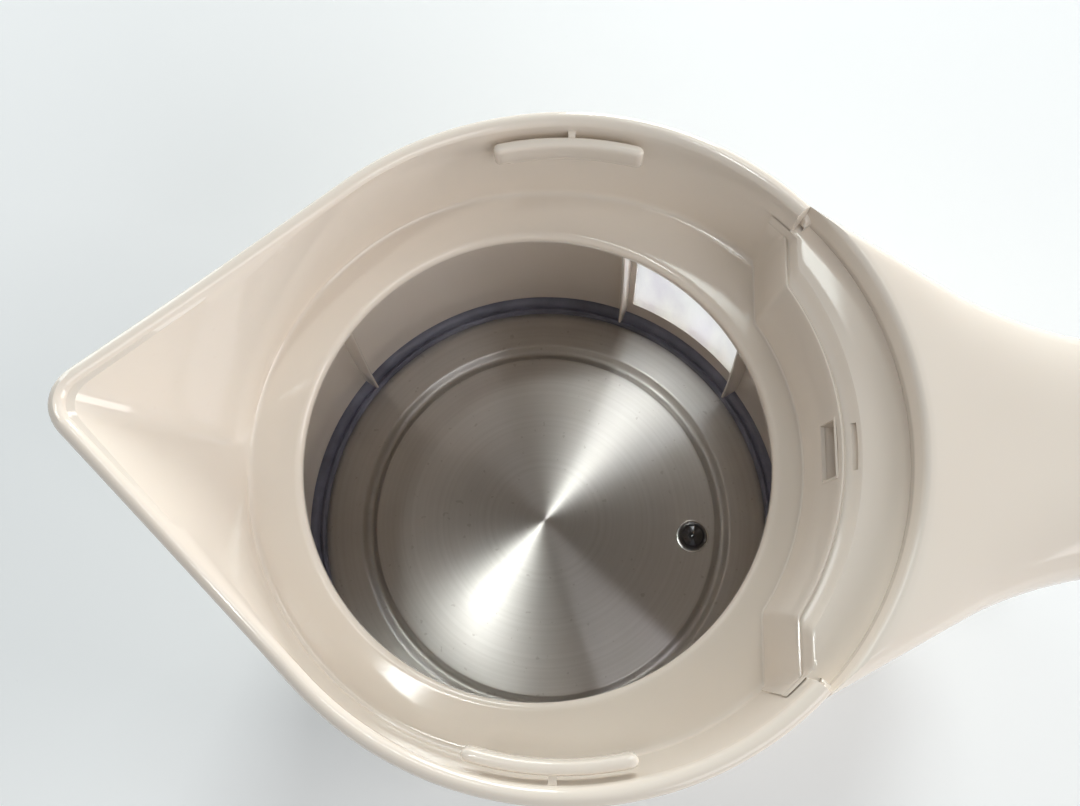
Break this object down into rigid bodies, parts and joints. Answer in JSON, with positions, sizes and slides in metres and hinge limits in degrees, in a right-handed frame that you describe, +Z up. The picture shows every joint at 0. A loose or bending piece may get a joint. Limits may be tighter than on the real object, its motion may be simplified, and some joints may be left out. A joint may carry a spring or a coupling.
{
  "type": "cordless electric kettle jug",
  "caption": "Small cordless kettle jug without its lid: teardrop rim with a pointed spout, loop handle, steel heating plate, water windows and an on and off lever",
  "frame": {"origin": "centre of the connector socket's mouth, on the water chamber's axis, at the plane that the jug stands on", "axes": "+X towards the handle, -X towards the spout, +Z up"},
  "size_m": [0.2012, 0.1384, 0.163],
  "materials": {
    "cream_plastic": "glossy cream moulding",
    "cream_plastic_soft": "satin cream moulding",
    "window": "clear water window",
    "turned_steel": "turned stainless steel",
    "seal_rubber": "dark slate silicone rubber",
    "white_plastic": "plain moulding",
    "spring_steel": "plain spring steel",
    "aluminium": "as cast",
    "element_sheath": "annealed sheath",
    "brass": "plain",
    "sensor_black": "glossy black",
    "zinc_steel": "zinc plated",
    "black_plastic": "moulded",
    "silicone_tube": "translucent silicone",
    "lever_plastic": "taupe moulding",
    "lens_red": "translucent red",
    "lamp_glass": "neon lamp",
    "wire_sleeve": "heat resisting sleeve"
  },
  "bodies": {
    "jug": {"body_shell": "cream_plastic", "steam_guide": "cream_plastic", "handle_shell": "cream_plastic", "handle_inner": "cream_plastic_soft", "switch_housing": "cream_plastic", "water_window_left": "window", "water_window_right": "window", "heating_plate": "turned_steel", "plate_seal": "seal_rubber", "clamp_ring": "white_plastic", "retaining_ring": "spring_steel", "heat_spreader": "aluminium", "heating_element": "element_sheath", "element_tabs": "brass", "sensor_dome": "sensor_black", "sensor_seal": "seal_rubber", "sensor_nut": "zinc_steel", "control_module": "black_plastic", "control_screws": "zinc_steel", "bimetal_discs": "brass", "connector_socket": "black_plastic", "connector_contacts": "brass", "base_cover": "cream_plastic_soft", "base_screws": "zinc_steel", "steam_tube": "silicone_tube", "steam_switch": "black_plastic", "steam_disc": "brass", "lever_pin": "spring_steel", "toggle_spring": "spring_steel", "pilot_lens": "lens_red", "pilot_lamp": "lamp_glass", "lamp_wires": "wire_sleeve", "handle_screws": "zinc_steel", "housing_screws": "zinc_steel"},
    "lever": {"switch_lever": "lever_plastic"},
    "rod": {"trip_rod": "white_plastic"}
  },
  "joints": [
    {"name": "lever_hinge", "type": "hinge", "parent": "jug", "child": "lever", "pos_m": [0.09819, 0, 0.024], "axis": [0, 1, 0], "range_deg": [0, 15]},
    {"name": "rod_slide", "type": "slide", "parent": "jug", "child": "rod", "axis": [-1, 0, 0], "range_m": [0, 0.0024]}
  ],
  "couplings": [
    {"joint": "rod_slide", "follows": "lever_hinge", "m_per_rad": 0.009}
  ]
}
